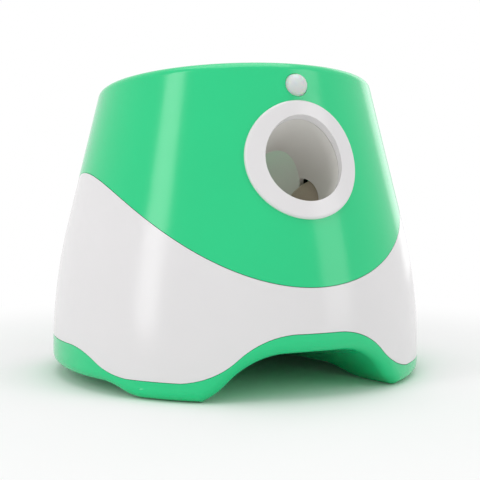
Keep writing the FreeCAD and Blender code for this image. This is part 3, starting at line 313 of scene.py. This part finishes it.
# %% Finishes by piece
FINISHES = {
    green_abs: ["base_tray", "upper_shell", "hopper_bowl", "battery_door"],
    white_abs: ["lower_shell", "muzzle_bezel", "button_panel", "power_button",
                "distance_button", "board_plugs"],
    grey_abs: ["launch_barrel"],
    lens_plastic: ["sensor_lens"],
    foot_rubber: ["rubber_feet"],
    tyre_rubber: ["left_wheel_tyre", "right_wheel_tyre"],
    hub_nylon: ["left_wheel_hub", "right_wheel_hub"],
    zinc_steel: ["left_motor_can", "right_motor_can", "left_wheel_nut", "right_wheel_nut",
                 "sensor_can"],
    ground_steel: ["left_motor_shaft", "right_motor_shaft", "motor_screws", "door_pins",
                   "board_screws"],
    contact_brass: ["battery_plates", "battery_springs"],
    can_aluminium: ["board_capacitors"],
    board_epoxy: ["control_board", "button_board", "sensor_board"],
    relay_pbt: ["motor_relays"],
    clear_acrylic: ["indicator_lights"],
    black_nylon: ["left_motor_cap", "right_motor_cap", "button_switches", "supply_socket",
                  "battery_box", "control_chip", "buzzer", "ball_eyes"],
}
for finish, names in FINISHES.items():
    for name in names:
        mesh = nodes[name].data
        mesh.materials.clear()
        mesh.materials.append(finish)
undressed = sorted(set(nodes) - {n for names in FINISHES.values() for n in names})
print("pieces without a finish:", undressed)

# %% [markdown]
# ## Small raised pieces
# Some things are too fine for the solids: the marks on the two buttons, the grip ridges of
# the battery door and the screws under the tray. All of them are guesses, because those sides
# are not seen. Each form is closed. It is built from rings of points: a small outline
# repeated along a path for a ridge, and circles stacked on one another for a screw head. A
# form in relief catches the light where a painted line would stay flat.

# %% Helpers for small pieces
# The outline of a ridge: sideways in half widths, upwards in heights. Its foot goes below the
# surface, so that no gap shows where the surface is hollow.
RIDGE_OUTLINE = ((-1, -1.2), (-1, 0.5), (-0.6, 1), (0.6, 1), (1, 0.5), (1, -1.2))
BOW_STEPS = 28


def turned_frame(origin, up):
    """An origin with the directions across, along and up, where up is square to x."""
    up = Vector(up).normalized()
    across = Vector((1, 0, 0))
    return Vector(origin), across, across.cross(up), up


def add_piece(name, body, finish, solids):
    """One mesh of several closed forms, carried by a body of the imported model."""
    made = bmesh.new()
    for rings in solids:
        loops = [[made.verts.new(point) for point in ring] for ring in rings]
        count = len(loops[0])
        for low, high in zip(loops, loops[1:]):
            for i in range(count):
                j = (i + 1) % count
                made.faces.new((low[i], low[j], high[j], high[i]))
        made.faces.new(list(reversed(loops[0])))
        made.faces.new(loops[-1])
    bmesh.ops.recalc_face_normals(made, faces=made.faces)
    mesh = bpy.data.meshes.new(name)
    made.to_mesh(mesh)
    made.free()
    mesh.materials.append(finish)
    piece = bpy.data.objects.new(name, mesh)
    scene.collection.objects.link(piece)
    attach(piece, body)


def ridge(frame_here, path, half_width, height):
    """A low ridge with sloping flanks along a path of flat points, in millimetres."""
    origin, across, along, up = frame_here
    rings = []
    for i, point in enumerate(path):
        before, after = path[max(i - 1, 0)], path[min(i + 1, len(path) - 1)]
        way = Vector((after[0] - before[0], after[1] - before[1])).normalized()
        side = Vector((-way.y, way.x))
        ring = []
        for offset, rise in RIDGE_OUTLINE:
            flat = Vector(point) + side * (offset * half_width)
            ring.append(origin + (across * flat.x + along * flat.y + up * rise * height) * MM)
        rings.append(ring)
    return rings


def bow(radius, first, last):
    """Points on an arc about the middle, from one angle to another in degrees."""
    angles = [math.radians(first + (last - first) * k / BOW_STEPS) for k in range(BOW_STEPS + 1)]
    return [(radius * math.cos(a), radius * math.sin(a)) for a in angles]


# %% [markdown]
# ## Button marks
# A bar in an open ring is the usual sign for power, and rings that spread out stand for a
# longer throw. They are modelled in relief, a few tenths of a millimetre high, in the dished
# top of each button.

# %% Marks on the buttons
PANEL_LEAN = math.radians(14)
PANEL_OUT = Vector((0, math.cos(PANEL_LEAN), math.sin(PANEL_LEAN)))
MARK_SINK_MM = 0.55  # how far a mark's base lies below the outermost point of its button
MARK_HALF_WIDTH, MARK_HEIGHT = 0.42, 0.4
# For each button: how far its mark is moved along the face, then the paths of the mark.
MARKS = {
    "power_button": (0.0, [bow(3.0, 130, 410), [(0, 0.6), (0, 4.4)]]),
    "distance_button": (-3.6, [bow(radius, 40, 140) for radius in (1.5, 3.5, 5.5)]),
}
for name, (shift, paths) in MARKS.items():
    low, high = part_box(name)
    middle = (low + high) / 2
    surface_out = max((nodes[name].matrix_world @ v.co).dot(PANEL_OUT)
                      for v in nodes[name].data.vertices)
    lift = surface_out - middle.dot(PANEL_OUT) - MARK_SINK_MM * MM
    face = turned_frame(middle + PANEL_OUT * lift, PANEL_OUT)
    forms = [ridge(face, [(x, y + shift) for x, y in path], MARK_HALF_WIDTH, MARK_HEIGHT)
             for path in paths]
    add_piece(name + "_mark", name, black_nylon, forms)

# %% [markdown]
# ## Under the tray
# Six screw heads with a cross recess stand for the screws that would hold the tray to the
# skirt. The battery door has low ridges beside its finger grip, so that a wet thumb can pull
# it open.

# %% Screws and grip ridges
UNDERSIDE_MM = 8.6
SCREW_PLACES = ((-112, -34), (-112, 34), (112, -34), (112, 34), (-34, 113), (34, 113))
# The circles of a head: radius, and how far each lies below the underside. The first one is
# above it, inside the tray. The last two are the recess.
HEAD_CIRCLES = ((3.4, -0.2), (3.4, 0.9), (2.9, 1.6), (1.9, 1.9), (1.5, 1.9), (1.1, 0.8))
HEAD_SIDES = 32
RECESS_RADIUS = 1.6  # circles smaller than this belong to the recess
RECESS_WAIST = 0.55  # the share by which the recess is drawn in between its four arms
GRIP_PLACE = (0, 0.064, UNDERSIDE_MM * MM)
GRIP_HALF_LENGTH = 13
GRIP_ROWS = (0, 3, 6, 9)


def head_circle(x, y, radius, drop):
    """A ring of a screw head, drawn in to a cross where it is part of the recess."""
    ring = []
    for k in range(HEAD_SIDES):
        angle = 2 * math.pi * k / HEAD_SIDES
        in_recess = radius <= RECESS_RADIUS
        cross = 1 - RECESS_WAIST * abs(math.sin(2 * angle)) if in_recess else 1.0
        ring.append(Vector((x + radius * cross * math.cos(angle),
                            y + radius * cross * math.sin(angle), UNDERSIDE_MM - drop)) * MM)
    return ring


screw_forms = [[head_circle(x, y, radius, drop) for radius, drop in HEAD_CIRCLES]
               for x, y in SCREW_PLACES]
add_piece("tray_screws", "housing", ground_steel, screw_forms)

under_face = turned_frame(GRIP_PLACE, (0, 0, -1))
door_ridges = [ridge(under_face, [(-GRIP_HALF_LENGTH, row), (GRIP_HALF_LENGTH, row)],
                     half_width=0.6, height=0.7) for row in GRIP_ROWS]
add_piece("door_grip_ridges", "battery_door", green_abs, door_ridges)
print("under the tray:", len(screw_forms), "screws and", len(door_ridges), "ridges")

# %% [markdown]
# ## Floor and light
# The floor is white paper that keeps the shadow near the machine and turns into pure white
# further out, as paper does where it is lit on its own. The room lights the machine evenly
# from all sides, and where it is seen directly or in a reflection it is pure white. Tall soft
# boxes stand where a glossy shell shows them as upright highlights: left, in front on the
# right, and behind on the right. A fourth hangs above. A lamp's power follows from its
# distance and the light it should give.


# %% Floor
def seen_directly(tree):
    """One where the eye, a reflection or clear plastic looks at the backdrop."""
    rays = add(tree, "ShaderNodeLightPath")
    mirror = add(tree, "ShaderNodeMath", {"operation": "MAXIMUM"},
                 {0: rays.outputs["Is Camera Ray"], 1: rays.outputs["Is Glossy Ray"]})
    return add(tree, "ShaderNodeMath", {"operation": "MAXIMUM"},
               {0: mirror.outputs[0], 1: rays.outputs["Is Transmission Ray"]}).outputs[0]


FLOOR_REACH = 4.0
FADE_BEGINS, FADE_FULL = 0.16, 0.5  # from the middle of the machine, in metres

floor_mesh = bpy.data.meshes.new("floor")
corners = [(x * FLOOR_REACH, y * FLOOR_REACH, 0) for x, y in ((-1, -1), (1, -1), (1, 1), (-1, 1))]
floor_mesh.from_pydata(corners, [], [(0, 1, 2, 3)])
floor = bpy.data.objects.new("floor", floor_mesh)
scene.collection.objects.link(floor)
paper, tree, place = new_material("white_paper")
distance = add(tree, "ShaderNodeVectorMath", {"operation": "LENGTH"}, {0: place})
fade = add(tree, "ShaderNodeMapRange",
           {"From Min": FADE_BEGINS, "From Max": FADE_FULL, "interpolation_type": "SMOOTHSTEP"},
           {"Value": distance.outputs["Value"]})
share = add(tree, "ShaderNodeMath", {"operation": "MULTIPLY"},
            {0: fade.outputs["Result"], 1: seen_directly(tree)})
matt = add(tree, "ShaderNodeBsdfDiffuse", {"Color": linear("F6F6F6")})
white = add(tree, "ShaderNodeEmission", {"Color": linear("FFFFFF"), "Strength": 1.0})
blend = add(tree, "ShaderNodeMixShader", {},
            {0: share.outputs[0], 1: matt.outputs[0], 2: white.outputs[0]})
add(tree, "ShaderNodeOutputMaterial", {}, {"Surface": blend.outputs[0]})
floor_mesh.materials.append(paper)
floor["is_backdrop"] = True
print("floor fades to white in m:", [FADE_BEGINS, FADE_FULL])

# %% Lights
AIM = Vector((0, 0, 0.12))
ROOM_LEVEL, BACKDROP_LEVEL = 0.6, 1.0
# Name, place, width and height in metres, and the level of light.
SOFT_BOXES = (
    ("box_left", (-1.25, -0.35, 0.6), 0.34, 1.3, 0.24),
    ("box_front_right", (0.8, -1.0, 0.6), 0.45, 1.2, 0.14),
    ("box_rear_right", (1.15, 0.64, 0.6), 0.5, 1.2, 0.08),
    ("box_top", (0, -0.1, 1.7), 1.4, 1.4, 0.37),
)


def soft_box(name, place, width, height, level):
    """A lamp that aims at the machine and lights what faces it to a level, 1 being white.

    A matt lamp gives power / (pi * distance^2) to what faces it, and white paper sends that
    back divided by pi.
    """
    way = AIM - Vector(place)
    data = bpy.data.lights.new(name, "AREA")
    data.shape = "RECTANGLE"
    data.size, data.size_y = width, height
    data.energy = level * math.pi ** 2 * way.length_squared
    lamp = bpy.data.objects.new(name, data)
    lamp.location = place
    lamp.rotation_euler = way.to_track_quat("-Z", "Y").to_euler()
    scene.collection.objects.link(lamp)
    return data.energy


powers = [soft_box(*box) for box in SOFT_BOXES]
world = bpy.data.worlds.new("studio")
scene.world = world
world.use_nodes = True
tree = world.node_tree
tree.nodes.clear()
room, seen = (add(tree, "ShaderNodeBackground", {"Color": linear("FFFFFF"), "Strength": level})
              for level in (ROOM_LEVEL, BACKDROP_LEVEL))
mix = add(tree, "ShaderNodeMixShader", {},
          {0: seen_directly(tree), 1: room.outputs[0], 2: seen.outputs[0]})
add(tree, "ShaderNodeOutputWorld", {}, {"Surface": mix.outputs[0]})
scene.view_settings.view_transform = "Standard"
print("lamp powers in watts:", [round(power, 1) for power in powers])

# %% Write the sizes and finish
low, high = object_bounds()
print("visual size in mm:", [round(v / MM, 1) for v in high - low])
